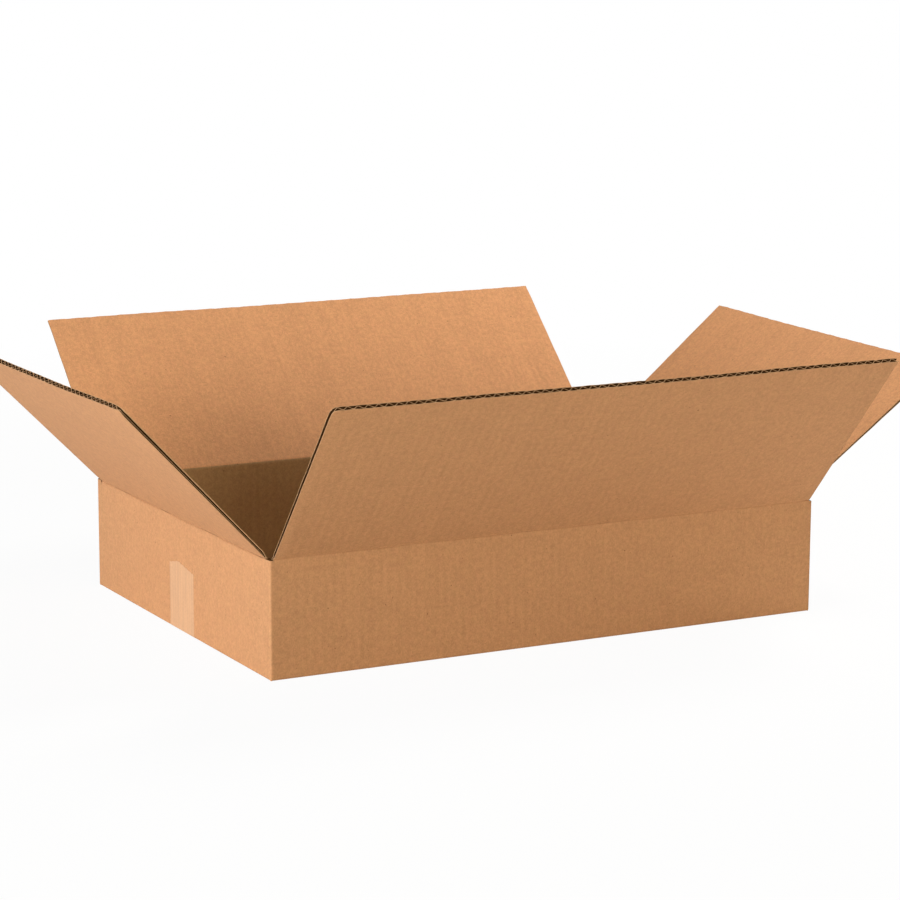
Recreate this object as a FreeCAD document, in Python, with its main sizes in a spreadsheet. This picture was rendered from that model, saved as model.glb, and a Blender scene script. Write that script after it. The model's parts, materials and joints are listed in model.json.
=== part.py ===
"""A shallow, open box of corrugated board: four walls, a taped bottom and four top flaps.

The box is one sheet, slotted, creased and folded. Its four top flaps stand open and each turns
about its own crease, so each flap is a solid of its own. A strip of tape closes the bottom seam
and turns up both end walls. Lengths are in millimetres. The origin is the centre of the base,
on the surface that the box stands on. +X runs along the length, +Y to the back, +Z up.
"""
import FreeCAD, Part
import Sketcher
import os

DIMENSIONS = (
    # The erected box, outside
    ("box_length", 500, "outside length, along X"),
    ("box_width", 362, "outside width, along Y"),
    ("board", 4, "thickness of the corrugated board"),
    ("corner_radius", 3.5, "outside radius of the four upright folds"),
    ("fold_radius", 3, "outside radius of the folds round the bottom"),
    # Top creases and flaps
    ("end_crease_height", 94.6, "height of the crease lines of the two end flaps"),
    ("crease_step", 2, "how much higher the creases of the two long flaps lie"),
    ("end_flap_reach", 176.6, "crease to free edge of an end flap"),
    ("long_flap_inset", 3, "from an end wall's outside to the side of a long flap"),
    ("end_flap_inset", 9, "from a long wall's outside to the side of an end flap"),
    ("right_front_inset", 18.5, "the same at the front side of the right flap, cut narrower"),
    # How far each flap leans outwards from upright
    ("front_lean", 40.3, "front flap, in degrees"),
    ("back_lean", 46.6, "back flap, in degrees"),
    ("left_lean", 44.4, "left flap, in degrees"),
    ("right_lean", 53.6, "right flap, in degrees"),
    # The crushed band along each crease
    ("crushed_board", 1.5, "thickness of the board where the crease has crushed it"),
    ("crushed_reach", 2.5, "half the width of the fully crushed strip"),
    ("crush_end", 9, "where the board is back to its full thickness, from the crease"),
    ("crease_gap", 0.5, "gap between a flap's rolled edge and the wall under it"),
    ("crease_bevel", 0.5, "bevel along both sides of a wall's crushed top"),
    ("side_gap", 0.3, "gap beside a flap's crushed band, at the end of its slot"),
    # The corrugated section
    ("flute_pitch", 8.07, "from one flute to the next"),
    ("liner", 0.4, "thickness of the flat paper on each face"),
    ("medium", 0.35, "thickness of the wavy paper between them"),
    ("flute_crest", 1.2, "width of the strip where a flute is glued to a liner"),
    ("flute_end", 12, "where the flutes are crushed shut, from the crease"),
    # The closed bottom
    ("bottom_seam", 4, "gap between the two outer bottom flaps"),
    ("bottom_end_reach", 177, "how far an inner bottom flap reaches from an end wall's outside"),
    ("layer_gap", 0.3, "gap between the inner and the outer bottom flaps"),
    ("folded_end", 2, "thickness of the crushed fold under an end wall"),
    # The glued lap that joins the sheet's two ends
    ("lap_width", 35, "width of the lap, inside the back wall"),
    ("lap_bottom", 12, "height of the lap's lower corner"),
    ("lap_top", 82, "height of the lap's upper corner"),
    ("lap_taper", 8, "how much each end of the lap slants"),
    # The tape
    ("tape_width", 49.6, "width of the tape"),
    ("tape_thickness", 0.1, "thickness of the tape"),
    ("tape_shift", -6.6, "how far the tape's middle lies off the box's middle, along Y"),
    ("tape_gap", 0.02, "gap between the tape and the board"),
    ("tape_slack", 0.6, "how much tighter the tape bends than the fold, where it lifts off a little"),
    ("tape_peak", 58.2, "highest point of the tape's torn end on the left wall"),
    ("tape_peak_place", 0.2, "distance of that point from the box's middle, along Y"),
    ("tape_back_drop", 3.7, "how much lower the torn end is at the tape's back edge"),
    ("tape_front_drop", 5, "how much lower the torn end is at the tape's front edge"),
    ("tape_right_rise", 56, "height of the tape on the right wall"),
)

# Derived sizes, each written once in terms of the sheet
LONG_CREASE = "(Dimensions.end_crease_height + Dimensions.crease_step)"
LONG_REACH = "(Dimensions.end_flap_reach - Dimensions.crease_step)"
HALF_CRUSH = "(Dimensions.crushed_board / 2)"
WALL_TOP = f"({LONG_CREASE} - {HALF_CRUSH} - Dimensions.crease_gap)"
LONG_FLAP_WIDTH = "(Dimensions.box_length - 2 * Dimensions.long_flap_inset)"
LEFT_FLAP_WIDTH = "(Dimensions.box_width - 2 * Dimensions.end_flap_inset)"
RIGHT_FLAP_WIDTH = "(Dimensions.box_width - Dimensions.end_flap_inset - Dimensions.right_front_inset)"
RIGHT_FLAP_MIDDLE = "((Dimensions.right_front_inset - Dimensions.end_flap_inset) / 2)"
LONG_CREASE_PLACE = f"(Dimensions.box_width / 2 - Dimensions.board + {HALF_CRUSH})"
END_CREASE_PLACE = f"(Dimensions.box_length / 2 - {HALF_CRUSH})"
TAPE_BED = "(Dimensions.tape_thickness + Dimensions.tape_gap)"
TAPE_BEND = "(Dimensions.fold_radius - Dimensions.tape_slack)"
BEYOND = 2  # how far a cutting outline runs past the board, so that its sides never coincide
GUESS = 10  # spacing of the points that a sketch starts from, before its constraints move them
NEAR = 0.01  # how close an edge has to be to a place to count as lying there

doc = FreeCAD.newDocument("open_box")


def make_sheet():
    """Put every driving dimension in a cell with a name and a note beside it."""
    sheet = doc.addObject("Spreadsheet::Sheet", "Dimensions")
    for row, (name, value, note) in enumerate(DIMENSIONS, start=1):
        sheet.set(f"A{row}", name)
        sheet.set(f"B{row}", str(value))
        sheet.set(f"C{row}", note)
        sheet.setAlias(f"B{row}", name)
    doc.recompute()
    return sheet


def new_body(name):
    body = doc.addObject("PartDesign::Body", name)
    body.Label = name
    return body


def origin_feature(body, role):
    return next(feature for feature in body.Origin.OriginFeatures if feature.Role == role)


def new_sketch(body, name, plane, offset=None):
    """A sketch on one of the body's own origin planes, moved along its normal by an expression."""
    sketch = body.newObject("Sketcher::SketchObject", name)
    sketch.AttachmentSupport = [(origin_feature(body, plane), "")]
    sketch.MapMode = "FlatFace"
    if offset:
        sketch.setExpression("AttachmentOffset.Base.z", offset)
    return sketch


def add_outline(sketch, corners):
    """Add a closed outline whose corners are pairs of expressions, measured from the origin."""
    first = sketch.GeometryCount
    count = len(corners)
    start = [FreeCAD.Vector(GUESS * (1 + step), GUESS + step * step, 0) for step in range(count)]
    for step in range(count):
        sketch.addGeometry(Part.LineSegment(start[step], start[(step + 1) % count]), False)
    for step in range(count):
        line = first + step
        after = first + (step + 1) % count
        sketch.addConstraint(Sketcher.Constraint("Coincident", line, 2, after, 1))
    for step, (across, up) in enumerate(corners):
        line = first + step
        sizes = (("DistanceX", start[step].x, across), ("DistanceY", start[step].y, up))
        for kind, place, expression in sizes:
            index = sketch.addConstraint(Sketcher.Constraint(kind, -1, 1, line, 1, place))
            sketch.setExpression(f"Constraints[{index}]", expression)


def add_pad(body, name, sketch, length, symmetric=False):
    pad = body.newObject("PartDesign::Pad", name)
    pad.Profile = sketch
    pad.SideType = "Symmetric" if symmetric else "One side"
    pad.setExpression("Length", length)
    return pad


def add_pocket(body, name, sketch, length, symmetric=False, reverse=False):
    """Cut a sketch out of the body and check that it took something away."""
    doc.recompute()
    before = body.Shape.Volume
    pocket = body.newObject("PartDesign::Pocket", name)
    pocket.Profile = sketch
    pocket.SideType = "Symmetric" if symmetric else "One side"
    pocket.Reversed = reverse
    pocket.setExpression("Length", length)
    doc.recompute()
    if not pocket.Shape.Volume < before:
        raise ValueError(f"{name} cuts nothing")
    return pocket


def add_pattern(body, name, feature, spacing, copies):
    """Repeat a feature along the body's X axis."""
    pattern = body.newObject("PartDesign::LinearPattern", name)
    pattern.Originals = [feature]
    pattern.Direction = (origin_feature(body, "X_Axis"), [""])
    pattern.Mode = "Spacing"
    pattern.setExpression("Offset", spacing)
    pattern.setExpression("Occurrences", copies)
    body.Tip = pattern
    return pattern


def add_fillet(body, name, base, edges, radius):
    fillet = body.newObject("PartDesign::Fillet", name)
    fillet.Base = (base, edges)
    fillet.setExpression("Radius", radius)
    doc.recompute()
    return fillet


def edges_where(feature, test):
    """Names of the straight or curved edges whose bounding box passes a test."""
    doc.recompute()
    edges = enumerate(feature.Shape.Edges, start=1)
    return [f"Edge{number}" for number, edge in edges if test(edge.BoundBox)]


def rectangle(left, right, low, high):
    return [(left, low), (right, low), (right, high), (left, high)]


def flute_cell(middle, base_face, tip_face, base_width):
    """Section of the tunnel between one flute and the liner that its wide side lies on."""
    half_base = f"({base_width}) / 2"
    half_tip = "Dimensions.flute_crest / 2"
    return [
        (f"{middle} - {half_base}", base_face),
        (f"{middle} + {half_base}", base_face),
        (f"{middle} + {half_tip}", tip_face),
        (f"{middle} - {half_tip}", tip_face),
    ]


def make_flap(name, reach, width, crushed_side, x, y, z, turn, lean):
    """A flap in its own frame: crease along X at the origin, outside face to -Y, free edge up.

    crushed_side is 1 where the crease has pushed in the outside face, and -1 where it has
    pushed in the inside face. The other face runs flat down to the crease.
    """
    body = new_body(name)
    flat_face = f"{crushed_side} * {HALF_CRUSH}"
    crushed_face = f"{-crushed_side} * {HALF_CRUSH}"
    full_face = f"{crushed_side} * ({HALF_CRUSH} - Dimensions.board)"

    side = new_sketch(body, f"{name}_side", "YZ_Plane")
    add_outline(side, [
        (flat_face, "0"),
        (crushed_face, "0"),
        (crushed_face, "Dimensions.crushed_reach"),
        (full_face, "Dimensions.crush_end"),
        (full_face, reach),
        (flat_face, reach),
    ])
    add_pad(body, f"{name}_sheet", side, width, symmetric=True)

    roll = body.newObject("PartDesign::AdditiveCylinder", f"{name}_rolled_edge")
    roll.AttachmentSupport = [(origin_feature(body, "YZ_Plane"), "")]
    roll.MapMode = "FlatFace"
    roll.setExpression("AttachmentOffset.Base.z", f"-{width} / 2")
    roll.setExpression("Radius", HALF_CRUSH)
    roll.setExpression("Height", width)

    flutes = f"round({width} / Dimensions.flute_pitch)"
    base_width = "Dimensions.flute_pitch - Dimensions.flute_crest"
    first = f"(-{flutes} / 2 * Dimensions.flute_pitch)"
    second = f"({first} + Dimensions.flute_pitch / 2)"
    near_flat = f"{crushed_side} * ({HALF_CRUSH} - Dimensions.liner)"
    near_full = f"{crushed_side} * ({HALF_CRUSH} - Dimensions.board + Dimensions.liner)"
    flat_tip = f"{near_flat} - {crushed_side} * Dimensions.medium"
    full_tip = f"{near_full} + {crushed_side} * Dimensions.medium"
    depth = f"{reach} - Dimensions.flute_end"
    tunnels = (
        ("flutes_on_flat_face", first, near_flat, full_tip, f"{flutes} + 1"),
        ("flutes_on_crushed_face", second, near_full, flat_tip, flutes),
    )
    for label, middle, base_face, tip_face, copies in tunnels:
        cell = new_sketch(body, f"{name}_{label}_section", "XY_Plane", reach)
        add_outline(cell, flute_cell(middle, base_face, tip_face, base_width))
        tunnel = add_pocket(body, f"{name}_{label}_first", cell, depth)
        add_pattern(body, f"{name}_{label}", tunnel, "Dimensions.flute_pitch", copies)

    body.setExpression("Placement", f"placement(vector({x}; {y}; {z}); rotation({turn}; 0; {lean}))")
    return body


def crushed_top_cutter(place, height, side, outwards):
    """What a crease takes off the top of one wall, as an outline across that wall.

    place is the crease's distance from the middle, and side says which of the two walls it is
    (-1 or 1). outwards is 1 where the wall's outside face is pushed in, and -1 for its inside.
    """
    def corner(across, up):
        return (f"{side} * ({place} + {outwards} * ({across}))", f"{height} + ({up})")

    lip_top = f"(-{HALF_CRUSH} - Dimensions.crease_gap)"
    full = f"(Dimensions.board - {HALF_CRUSH})"
    return [
        corner(f"{full} + {BEYOND}", BEYOND),
        corner(f"{full} + {BEYOND}", "-Dimensions.crush_end"),
        corner(full, "-Dimensions.crush_end"),
        corner(HALF_CRUSH, f"{lip_top} - Dimensions.crushed_reach"),
        corner(HALF_CRUSH, f"{lip_top} - Dimensions.crease_bevel"),
        corner(f"{HALF_CRUSH} - Dimensions.crease_bevel", lip_top),
        corner(f"-{HALF_CRUSH} + Dimensions.crease_bevel", lip_top),
        corner(f"-{HALF_CRUSH}", f"{lip_top} - Dimensions.crease_bevel"),
        corner(f"-{HALF_CRUSH} - {BEYOND}", f"{lip_top} - Dimensions.crease_bevel"),
        corner(f"-{HALF_CRUSH} - {BEYOND}", BEYOND),
    ]


def make_box_body(sheet):
    """The walls and the closed bottom, one folded sheet."""
    body = new_body("box_body")
    half_length = "Dimensions.box_length / 2"
    half_width = "Dimensions.box_width / 2"
    inner_x = "(Dimensions.box_length / 2 - Dimensions.board)"
    inner_y = "(Dimensions.box_width / 2 - Dimensions.board)"

    ring = new_sketch(body, "wall_ring_outline", "XY_Plane")
    add_outline(ring, rectangle(f"-{half_length}", half_length, f"-{half_width}", half_width))
    add_outline(ring, rectangle(f"-{inner_x}", inner_x, f"-{inner_y}", inner_y))
    walls = add_pad(body, "wall_ring", ring, WALL_TOP)

    length, width = sheet.box_length, sheet.box_width

    def upright_corner(box):
        at_end = abs(abs(box.XMin) - length / 2) < NEAR
        at_long_wall = abs(abs(box.YMin) - width / 2) < NEAR
        return at_end and at_long_wall and box.ZLength > sheet.board

    corners = edges_where(walls, upright_corner)
    rounded = add_fillet(body, "upright_folds", walls, corners, "Dimensions.corner_radius")

    def outside_bottom(box):
        past_end = max(abs(box.XMin), abs(box.XMax)) > length / 2 - sheet.board + NEAR
        past_side = max(abs(box.YMin), abs(box.YMax)) > width / 2 - sheet.board + NEAR
        return box.ZMax < NEAR and (past_end or past_side)

    below = edges_where(rounded, outside_bottom)
    add_fillet(body, "bottom_folds", rounded, below, "Dimensions.fold_radius")

    # The two outer bottom flaps come from the long walls and meet along the taped seam.
    outer = new_sketch(body, "outer_bottom_outline", "XY_Plane")
    mid_wall_x = "(Dimensions.box_length / 2 - Dimensions.board / 2)"
    mid_wall_y = "(Dimensions.box_width / 2 - Dimensions.board / 2)"
    seam = "Dimensions.bottom_seam / 2"
    add_outline(outer, rectangle(f"-{mid_wall_x}", mid_wall_x, seam, mid_wall_y))
    add_outline(outer, rectangle(f"-{mid_wall_x}", mid_wall_x, f"-{mid_wall_y}", f"-{seam}"))
    add_pad(body, "outer_bottom_flaps", outer, "Dimensions.board")

    # A slit shows where each outer flap's cut end lies behind the fold of the end wall.
    slit = new_sketch(body, "end_slit_outline", "XY_Plane")
    fold_in = f"({half_length} - Dimensions.folded_end)"
    cut_end = f"({half_length} - Dimensions.long_flap_inset)"
    add_outline(slit, rectangle(f"-{fold_in}", f"-{cut_end}", f"-{inner_y}", inner_y))
    add_outline(slit, rectangle(cut_end, fold_in, f"-{inner_y}", inner_y))
    add_pocket(body, "end_slits", slit, "Dimensions.board + Dimensions.layer_gap", reverse=True)

    # The two inner bottom flaps come from the end walls and lie on the outer ones.
    inner = new_sketch(body, "inner_bottom_outline", "XY_Plane", "Dimensions.board + Dimensions.layer_gap")
    inner_side = f"({half_width} - Dimensions.end_flap_inset)"
    inner_end = f"({half_length} - Dimensions.bottom_end_reach)"
    add_outline(inner, rectangle(f"-{mid_wall_x}", f"-{inner_end}", f"-{inner_side}", inner_side))
    add_outline(inner, rectangle(inner_end, mid_wall_x, f"-{inner_side}", inner_side))
    add_pad(body, "inner_bottom_flaps", inner, "Dimensions.board")

    # The glued lap lies inside the back wall, against the right end wall. It is padded from the
    # middle of the back wall to a board's thickness inside it.
    lap = new_sketch(body, "lap_outline", "XZ_Plane", f"-({half_width} - Dimensions.board / 2)")
    lap_end = f"({inner_x} - Dimensions.lap_width)"
    add_outline(lap, [
        (lap_end, "Dimensions.lap_bottom + Dimensions.lap_taper"),
        (mid_wall_x, "Dimensions.lap_bottom"),
        (mid_wall_x, "Dimensions.lap_top"),
        (lap_end, "Dimensions.lap_top - Dimensions.lap_taper"),
    ])
    add_pad(body, "glued_lap", lap, "Dimensions.board / 2 + Dimensions.board")

    # Each crease crushes the wall's top to a thin lip, on the side that its flap folds to.
    both_gaps = "2 * Dimensions.side_gap"
    long_crease = new_sketch(body, "long_crease_outline", "YZ_Plane")
    for side in (-1, 1):
        add_outline(long_crease, crushed_top_cutter(LONG_CREASE_PLACE, LONG_CREASE, side, 1))
    add_pocket(body, "long_creases", long_crease, f"{LONG_FLAP_WIDTH} + {both_gaps}", symmetric=True)
    ends = (("left", -1, LEFT_FLAP_WIDTH, "0"), ("right", 1, RIGHT_FLAP_WIDTH, RIGHT_FLAP_MIDDLE))
    for name, side, flap_width, middle in ends:
        end_crease = new_sketch(body, f"{name}_crease_outline", "XZ_Plane", f"-{middle}")
        height = "Dimensions.end_crease_height"
        add_outline(end_crease, crushed_top_cutter(END_CREASE_PLACE, height, side, -1))
        add_pocket(body, f"{name}_crease", end_crease, f"{flap_width} + {both_gaps}", symmetric=True)

    # The tape is pressed into the soft board under the base, so the base stays flat.
    bed = new_sketch(body, "tape_bed_outline", "XY_Plane")
    tape_back = "(Dimensions.tape_shift + Dimensions.tape_width / 2 + Dimensions.side_gap)"
    tape_front = "(Dimensions.tape_shift - Dimensions.tape_width / 2 - Dimensions.side_gap)"
    past_end = f"({half_length} + {BEYOND})"
    add_outline(bed, rectangle(f"-{past_end}", past_end, tape_front, tape_back))
    add_pocket(body, "tape_bed", bed, TAPE_BED, reverse=True)
    return body


def make_tape(sheet):
    """The strip of tape: under the bottom seam and up both end walls."""
    body = new_body("sealing_tape")
    inside = "(Dimensions.box_length / 2 + Dimensions.tape_gap)"
    outside = f"({inside} + Dimensions.tape_thickness)"
    strip = new_sketch(body, "tape_path_outline", "XZ_Plane", "-Dimensions.tape_shift")
    add_outline(strip, [
        (f"-{outside}", "0"),
        (outside, "0"),
        (outside, "Dimensions.tape_right_rise"),
        (inside, "Dimensions.tape_right_rise"),
        (inside, "Dimensions.tape_thickness"),
        (f"-{inside}", "Dimensions.tape_thickness"),
        (f"-{inside}", "Dimensions.tape_peak"),
        (f"-{outside}", "Dimensions.tape_peak"),
    ])
    band = add_pad(body, "tape_band", strip, "Dimensions.tape_width", symmetric=True)

    half = sheet.box_length / 2 + sheet.tape_gap

    def bend_at(place):
        def test(box):
            low = box.ZMax < sheet.board
            return abs(abs(box.XMin) - place) < NEAR and low and box.YLength > sheet.board
        return test

    bends = edges_where(band, bend_at(half))
    inner = add_fillet(body, "tape_inner_bends", band, bends, TAPE_BEND)
    bends = edges_where(inner, bend_at(half + sheet.tape_thickness))
    add_fillet(body, "tape_outer_bends", inner, bends, f"{TAPE_BEND} + Dimensions.tape_thickness")

    # The end on the left wall was torn off by hand, to a blunt slanted point.
    back_edge = "(Dimensions.tape_shift + Dimensions.tape_width / 2)"
    front_edge = "(Dimensions.tape_shift - Dimensions.tape_width / 2)"
    torn = new_sketch(body, "torn_end_outline", "YZ_Plane", f"-Dimensions.box_length / 2 - {BEYOND}")
    add_outline(torn, [
        (f"{front_edge} - {BEYOND}", "Dimensions.tape_peak - Dimensions.tape_front_drop"),
        (front_edge, "Dimensions.tape_peak - Dimensions.tape_front_drop"),
        ("Dimensions.tape_peak_place", "Dimensions.tape_peak"),
        (back_edge, "Dimensions.tape_peak - Dimensions.tape_back_drop"),
        (f"{back_edge} + {BEYOND}", "Dimensions.tape_peak - Dimensions.tape_back_drop"),
        (f"{back_edge} + {BEYOND}", f"Dimensions.tape_peak + {BEYOND}"),
        (f"{front_edge} - {BEYOND}", f"Dimensions.tape_peak + {BEYOND}"),
    ])
    add_pocket(body, "torn_end", torn, f"{2 * BEYOND}", reverse=True)
    return body


def make_flaps():
    """The four top flaps, each turned about its own crease to the lean it stands at."""
    long_flap = (LONG_REACH, LONG_FLAP_WIDTH, 1)
    left_flap = ("Dimensions.end_flap_reach", LEFT_FLAP_WIDTH, -1)
    right_flap = ("Dimensions.end_flap_reach", RIGHT_FLAP_WIDTH, -1)
    front = ("0", f"-{LONG_CREASE_PLACE}", LONG_CREASE)
    back = ("0", LONG_CREASE_PLACE, LONG_CREASE)
    left = (f"-{END_CREASE_PLACE}", "0", "Dimensions.end_crease_height")
    right = (END_CREASE_PLACE, RIGHT_FLAP_MIDDLE, "Dimensions.end_crease_height")
    return [
        make_flap("front_flap", *long_flap, *front, 0, "Dimensions.front_lean"),
        make_flap("back_flap", *long_flap, *back, 180, "Dimensions.back_lean"),
        make_flap("left_flap", *left_flap, *left, -90, "Dimensions.left_lean"),
        make_flap("right_flap", *right_flap, *right, 90, "Dimensions.right_lean"),
    ]


def check_document():
    for item in doc.Objects:
        if "Invalid" in item.State or "Error" in item.State:
            raise ValueError(f"{item.Name} did not build: {item.State}")


def main():
    sheet = make_sheet()
    parts = [make_box_body(sheet), *make_flaps(), make_tape(sheet)]
    doc.recompute()
    check_document()
    os.makedirs("parts", exist_ok=True)
    for part in parts:
        shape = part.Shape
        if shape.isNull() or not shape.isValid() or len(shape.Solids) != 1:
            raise ValueError(f"{part.Label} is not one sound solid")
        shape.exportStep(f"parts/{part.Label}.step")
        box = shape.BoundBox
        size = " x ".join(f"{length:.1f}" for length in (box.XLength, box.YLength, box.ZLength))
        print(f"{part.Label}: {shape.Volume / 1000:.1f} cm3, {size} mm")


main()
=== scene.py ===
# %% [markdown]
# # A shallow, open box of corrugated board
#
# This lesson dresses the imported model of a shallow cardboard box. Its bottom is folded shut and
# taped, and its four top flaps stand open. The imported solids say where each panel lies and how
# each flap turns. Here the same panels are made again as paper: two thin sheets with a wavy sheet
# between them, soft folds, crushed creases, worn corners, and the grain of kraft paper.

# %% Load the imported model
import json
import math

import bpy
import numpy as np
from mathutils import Matrix, Vector


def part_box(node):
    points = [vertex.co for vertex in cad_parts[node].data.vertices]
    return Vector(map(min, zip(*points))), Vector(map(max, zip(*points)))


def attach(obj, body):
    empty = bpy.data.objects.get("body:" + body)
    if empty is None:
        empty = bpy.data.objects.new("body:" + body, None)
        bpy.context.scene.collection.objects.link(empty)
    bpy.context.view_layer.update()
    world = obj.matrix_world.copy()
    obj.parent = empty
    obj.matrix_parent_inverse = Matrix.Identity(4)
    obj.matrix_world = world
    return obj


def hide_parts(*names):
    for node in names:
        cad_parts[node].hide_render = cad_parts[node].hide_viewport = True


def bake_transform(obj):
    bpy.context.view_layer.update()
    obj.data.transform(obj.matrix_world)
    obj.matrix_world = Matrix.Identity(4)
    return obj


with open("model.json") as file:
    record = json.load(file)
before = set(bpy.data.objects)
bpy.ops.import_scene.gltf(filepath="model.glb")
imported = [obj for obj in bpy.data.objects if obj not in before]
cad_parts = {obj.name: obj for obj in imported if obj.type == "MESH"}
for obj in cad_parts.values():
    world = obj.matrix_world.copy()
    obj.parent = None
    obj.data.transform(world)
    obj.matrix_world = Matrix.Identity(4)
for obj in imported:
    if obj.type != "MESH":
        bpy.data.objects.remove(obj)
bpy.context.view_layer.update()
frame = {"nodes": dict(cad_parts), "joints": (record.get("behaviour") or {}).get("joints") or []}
joints = {joint["name"]: joint for joint in frame["joints"]}
MM = 0.001
print("nodes:", sorted(frame["nodes"]))

# %% [markdown]
# ## The camera
#
# The photo was taken from a little above the box, from its front left. A camera is best found by
# fitting it to known corners: where it stands, which way it looks and how long its lens is. The
# numbers below come from such a fit. Yaw turns the camera from looking along +Y towards +X.

# %% Set up the camera
CAMERA_PLACE = Vector((-1.1405, -2.1525, 0.5895))
CAMERA_YAW = math.radians(27.94)
CAMERA_PITCH = math.radians(10.70)
CAMERA_ROLL = math.radians(0.22)
LENS = 116.24


def make_camera():
    """A camera at the photo's place, turned by yaw, pitch and roll."""
    forward = Vector((
        math.sin(CAMERA_YAW) * math.cos(CAMERA_PITCH),
        math.cos(CAMERA_YAW) * math.cos(CAMERA_PITCH),
        -math.sin(CAMERA_PITCH),
    ))
    level_right = Vector((math.cos(CAMERA_YAW), -math.sin(CAMERA_YAW), 0))
    level_up = level_right.cross(forward)
    right = level_right * math.cos(CAMERA_ROLL) + level_up * math.sin(CAMERA_ROLL)
    up = level_up * math.cos(CAMERA_ROLL) - level_right * math.sin(CAMERA_ROLL)
    camera = bpy.data.objects.new("camera", bpy.data.cameras.new("camera"))
    bpy.context.scene.collection.objects.link(camera)
    turn = Matrix((right, up, -forward)).transposed().to_4x4()
    camera.matrix_world = Matrix.Translation(CAMERA_PLACE) @ turn
    camera.data.lens = LENS
    camera.data.sensor_width = 36
    camera.data.clip_end = 200
    bpy.context.scene.camera = camera
    return camera


camera = make_camera()
print("camera at", [round(value, 3) for value in camera.location])

# %% [markdown]
# ## Sums that become nodes
#
# A procedural material is a chain of small sums. Written as nodes one by one, such a chain is
# hard to read. A small class that holds one output socket and gives meaning to +, - and * lets a
# sum be written as a sum: each operator adds one Math node and hands back its output.

# %% Write shader sums as expressions
class Wire:
    """One output socket; sums of wires and numbers add the Math nodes that work them out."""

    def __init__(self, tree, socket):
        self.tree = tree
        self.socket = socket

    def math(self, operation, *others):
        settings = {"operation": operation}
        sockets = {number: value for number, value in enumerate((self, *others))}
        return self.tree.node("ShaderNodeMath", settings, sockets)

    def __add__(self, other):
        return self.math("ADD", other)

    def __sub__(self, other):
        return self.math("SUBTRACT", other)

    def __rsub__(self, other):
        return self.math("MULTIPLY_ADD", -1.0, other)

    def __mul__(self, other):
        return self.math("MULTIPLY", other)

    def clamp(self):
        return self.math("MINIMUM", 1.0).math("MAXIMUM", 0.0)

    __radd__ = __add__
    __rmul__ = __mul__


class Finish:
    """A material whose nodes are made one at a time: settings first, then values or wires."""

    def __init__(self, name):
        self.material = bpy.data.materials.new(name)
        self.material.use_nodes = True
        self.nodes = self.material.node_tree.nodes
        self.links = self.material.node_tree.links
        self.shader = self.nodes["Principled BSDF"]

    def node(self, kind, settings=None, sockets=None, output=0):
        made = self.nodes.new(kind)
        for name, value in (settings or {}).items():
            setattr(made, name, value)
        for name, value in (sockets or {}).items():
            self.feed(made.inputs[name], value)
        return Wire(self, made.outputs[output])

    def feed(self, socket, value):
        if isinstance(value, Wire):
            self.links.new(value.socket, socket)
        else:
            socket.default_value = value

    def mix(self, factor, first, second):
        """A colour between two colours."""
        settings = {"data_type": "RGBA"}
        return self.node("ShaderNodeMix", settings, {0: factor, 6: first, 7: second}, output=2)

    def scaled(self, place, *factors):
        """The place on the sheet, stretched by its own factor along and up."""
        settings = {"operation": "MULTIPLY"}
        return self.node("ShaderNodeVectorMath", settings, {0: place, 1: (*factors, 1.0)})

    def noise(self, place, along, up, detail=2.0, rough=0.5):
        """Smooth noise from 0 to 1; along and up say how many swells fit in a metre."""
        sockets = {"Vector": self.scaled(place, along, up), "Scale": 1.0}
        sockets.update(Detail=detail, Roughness=rough)
        return self.node("ShaderNodeTexNoise", None, sockets)

    def set(self, **values):
        """Feed the shader's own sockets, named with _ for each space."""
        for name, value in values.items():
            self.feed(self.shader.inputs[name.replace("_", " ")], value)


def rgb(red, green, blue):
    return (red, green, blue, 1.0)


print("shader helpers ready")

# %% [markdown]
# ## Kraft paper
#
# The two faces of the board are kraft liner: brown paper whose fibres clump into faint clouds,
# with a finer grain on top and here and there a dark speck of bark. The flutes underneath show
# as very faint upright streaks. All of it is tied to the flat sheet by a UV map in metres, so the
# pattern runs on across each crease and stays in place when a flap turns.

# %% Make the paper finishes
FLUTE_PITCH = 8.07 * MM
SHEET_MAP = "sheet"
KRAFT = (0.480, 0.246, 0.116)
SPECK = (0.10, 0.045, 0.018)
DEEP_SHARE, PALE_SHARE = 0.80, 1.20


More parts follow.
